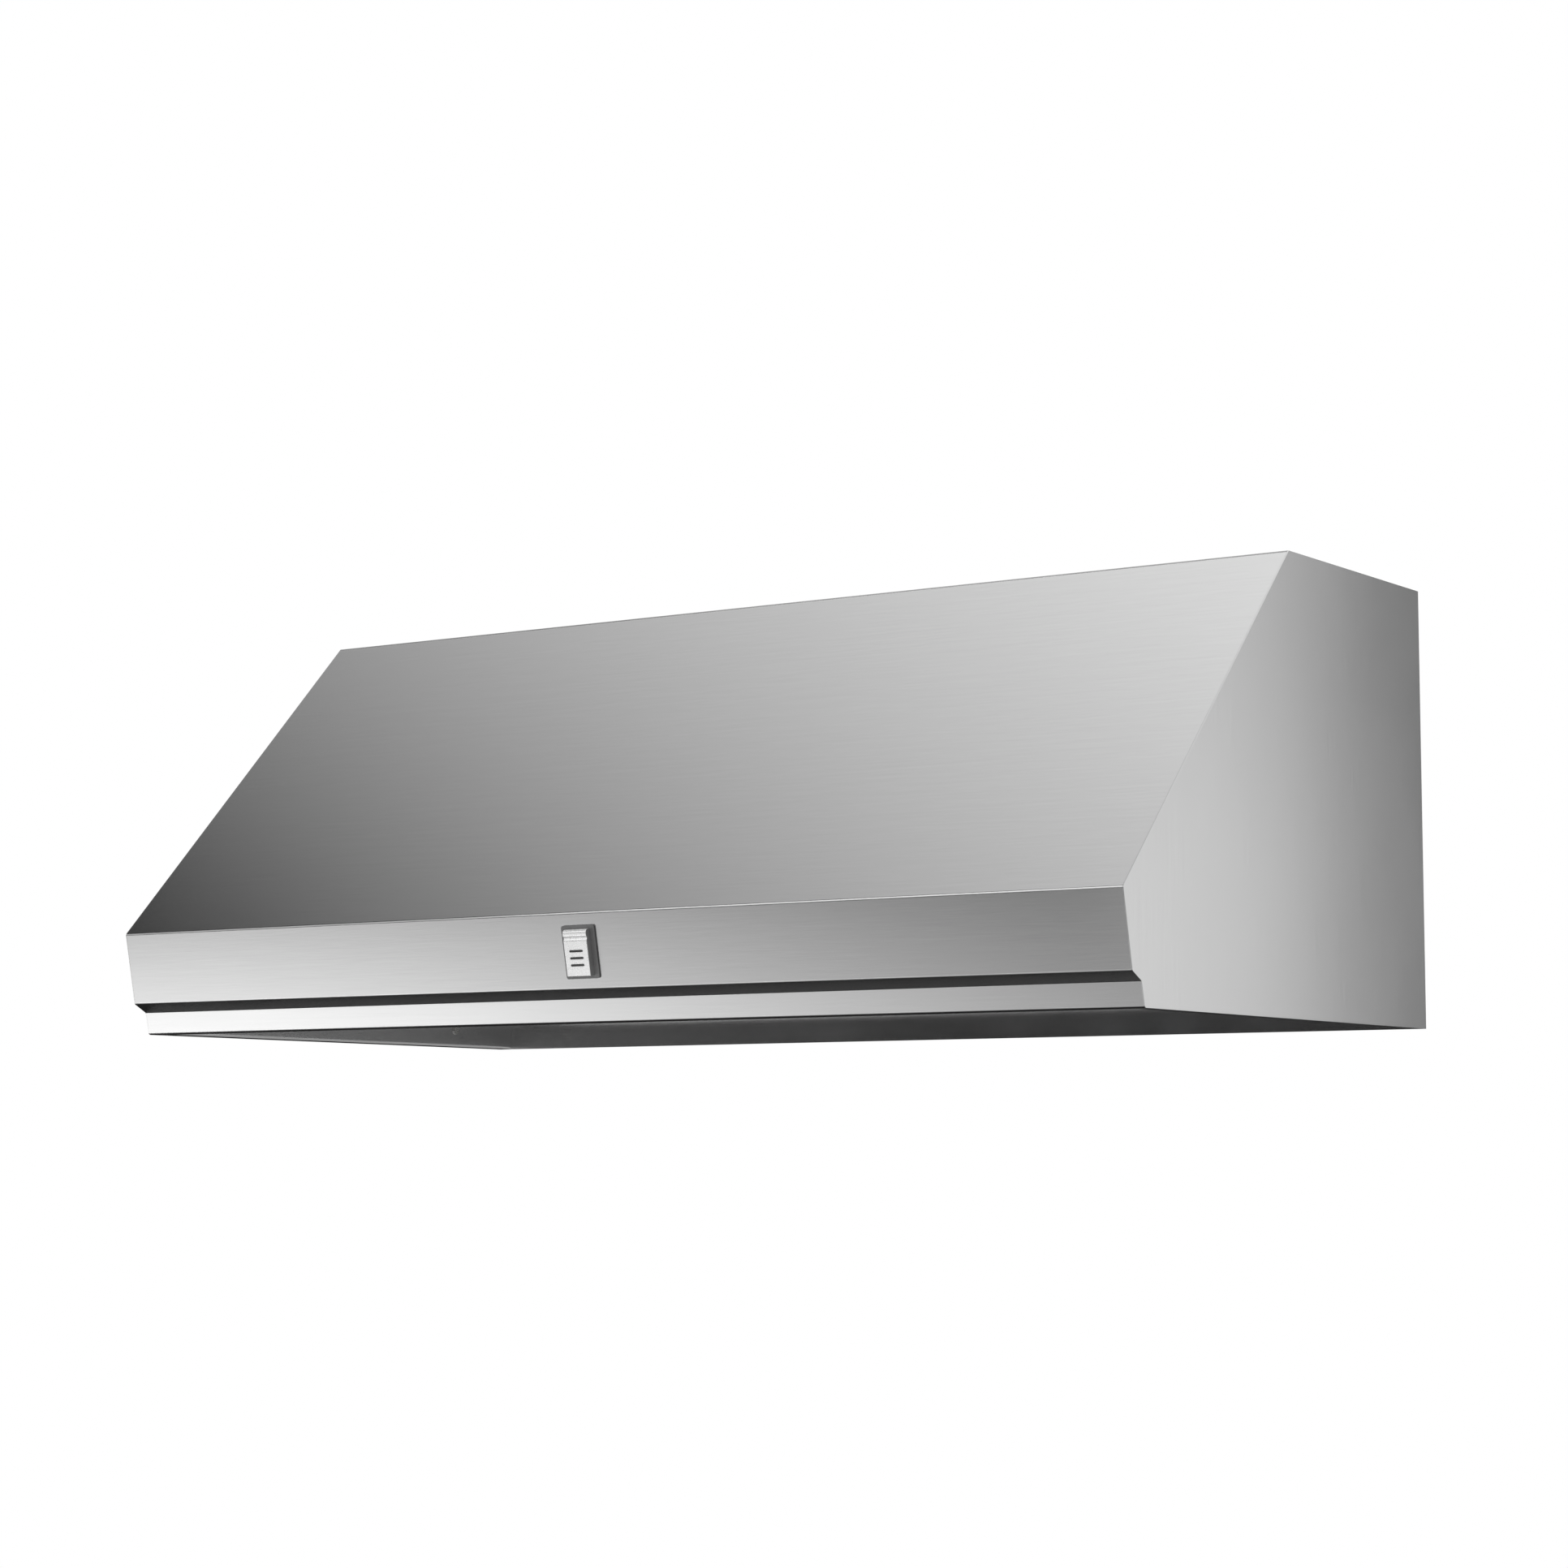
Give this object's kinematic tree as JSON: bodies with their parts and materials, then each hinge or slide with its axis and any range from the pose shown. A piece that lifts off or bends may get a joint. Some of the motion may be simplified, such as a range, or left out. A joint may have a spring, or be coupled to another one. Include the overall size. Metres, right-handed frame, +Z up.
{
  "type": "under cabinet range hood",
  "caption": "Wedge-shaped stainless hood bolted under a cabinet: hinged baffle filters, blower, round duct collar with flap damper, lamps, knobs and a grease trough.",
  "frame": {"origin": "centre of the cabinet bolt holes on the top face, on the duct collar's axis", "axes": "+X along the hood's width, to the right of someone facing its front; +Y back into the wall; +Z up into the cabinet"},
  "size_m": [1.2192, 0.6514, 0.4572],
  "materials": {
    "brushed_stainless_front": "fine horizontal grain, satin",
    "brushed_stainless_side": "fine vertical grain, satin",
    "brushed_stainless_liner": "fine grain, satin",
    "stainless_back": "mill finish",
    "stainless_trough": "satin",
    "filter_channel": "satin",
    "filter_baffle": "lengthwise grain, satin",
    "polished_rod": "polished",
    "magnet_plating": "nickel plated",
    "spring_steel": "spring temper",
    "galvanised_sheet": "zinc coated, faint spangle",
    "wheel_steel": "zinc coated",
    "motor_paint": "semi-gloss black",
    "motor_laminations": "varnished",
    "ground_shaft": "ground",
    "capacitor_can": "drawn can",
    "clip_plastic": "moulded",
    "flap_aluminium": "mill finish",
    "terminal_plastic": "moulded",
    "bushing_rubber": "moulded",
    "cable_sheath": "extruded sheath",
    "board_laminate": "board and moulded supply case",
    "dial_plate_paint": "satin black, cut index marks",
    "switch_plastic": "moulded",
    "knob_metal": "turned and brushed",
    "lamp_can": "die cast",
    "lamp_trim": "polished",
    "lamp_glass": "frosted",
    "lamp_board": "white solder mask",
    "badge_dark": "black",
    "badge_bright": "bright satin plating",
    "badge_mark": "black",
    "zinc_screws": "zinc plated"
  },
  "bodies": {
    "hood": {"assembly_screws": "zinc_screws", "back_panel": "stainless_back", "badge_base": "badge_dark", "badge_block": "badge_bright", "badge_emblem": "badge_mark", "blower_hangers": "galvanised_sheet", "blower_scroll_left": "galvanised_sheet", "blower_scroll_right": "galvanised_sheet", "cable_bushings": "bushing_rubber", "control_box": "galvanised_sheet", "control_electronics": "board_laminate", "control_strip": "brushed_stainless_liner", "damper_axle": "ground_shaft", "duct_collar": "galvanised_sheet", "filter_magnets": "magnet_plating", "front_canopy": "brushed_stainless_front", "inlet_rings": "galvanised_sheet", "junction_box": "galvanised_sheet", "junction_cover": "galvanised_sheet", "knob_plates": "dial_plate_paint", "lamp_bezels": "lamp_trim", "lamp_housings": "lamp_can", "lamp_lenses": "lamp_glass", "led_boards": "lamp_board", "motor_capacitor": "capacitor_can", "motor_cradle": "galvanised_sheet", "motor_shell": "motor_paint", "motor_stator": "motor_laminations", "outlet_plenum": "galvanised_sheet", "rear_filter_rail": "brushed_stainless_liner", "retaining_clips": "clip_plastic", "rotary_switches": "switch_plastic", "side_liner_left": "brushed_stainless_liner", "side_liner_right": "brushed_stainless_liner", "side_panel_left": "brushed_stainless_side", "side_panel_right": "brushed_stainless_side", "terminal_block": "terminal_plastic", "top_panel": "stainless_back", "trough_clips": "spring_steel", "wire_harness": "cable_sheath"},
    "rotor": {"motor_shaft": "ground_shaft", "motor_rotor": "motor_laminations", "impeller_left": "wheel_steel", "impeller_right": "wheel_steel"},
    "front_flap": {"damper_flap_front": "flap_aluminium"},
    "rear_flap": {"damper_flap_rear": "flap_aluminium"},
    "trough": {"grease_trough": "stainless_trough"},
    "fan_control": {"fan_knob": "knob_metal", "fan_switch_shaft": "ground_shaft"},
    "light_control": {"light_knob": "knob_metal", "light_switch_shaft": "ground_shaft"},
    "filter_1": {"filter_frame_1": "filter_channel", "filter_baffles_1": "filter_baffle", "filter_handle_1": "polished_rod"},
    "filter_2": {"filter_frame_2": "filter_channel", "filter_baffles_2": "filter_baffle", "filter_handle_2": "polished_rod"},
    "filter_3": {"filter_frame_3": "filter_channel", "filter_baffles_3": "filter_baffle", "filter_handle_3": "polished_rod"}
  },
  "joints": [
    {"name": "rotor_spin", "type": "hinge", "parent": "hood", "child": "rotor", "pos_m": [0, -0.085, -0.2092], "axis": [1, 0, 0], "continuous": true},
    {"name": "front_flap_hinge", "type": "hinge", "parent": "hood", "child": "front_flap", "pos_m": [0, 0, -0.052], "axis": [-1, 0, 0], "range_deg": [0, 80]},
    {"name": "rear_flap_hinge", "type": "hinge", "parent": "hood", "child": "rear_flap", "pos_m": [0, 0, -0.052], "axis": [1, 0, 0], "range_deg": [0, 80]},
    {"name": "trough_pull", "type": "slide", "parent": "hood", "child": "trough", "axis": [0, 0, -1], "range_m": [0, 0.12]},
    {"name": "fan_knob_turn", "type": "hinge", "parent": "hood", "child": "fan_control", "pos_m": [-0.05, -0.3663, -0.4212], "axis": [0, 0, -1], "range_deg": [0, 270]},
    {"name": "light_knob_turn", "type": "hinge", "parent": "hood", "child": "light_control", "pos_m": [0.05, -0.3663, -0.4212], "axis": [0, 0, -1], "range_deg": [0, 270]},
    {"name": "filter_1_swing", "type": "hinge", "parent": "hood", "child": "filter_1", "pos_m": [-0.3936, 0.1027, -0.4032], "axis": [1, 0, 0], "range_deg": [0, 70]},
    {"name": "filter_2_swing", "type": "hinge", "parent": "hood", "child": "filter_2", "pos_m": [0, 0.1027, -0.4032], "axis": [1, 0, 0], "range_deg": [0, 70]},
    {"name": "filter_3_swing", "type": "hinge", "parent": "hood", "child": "filter_3", "pos_m": [0.3936, 0.1027, -0.4032], "axis": [1, 0, 0], "range_deg": [0, 70]}
  ]
}
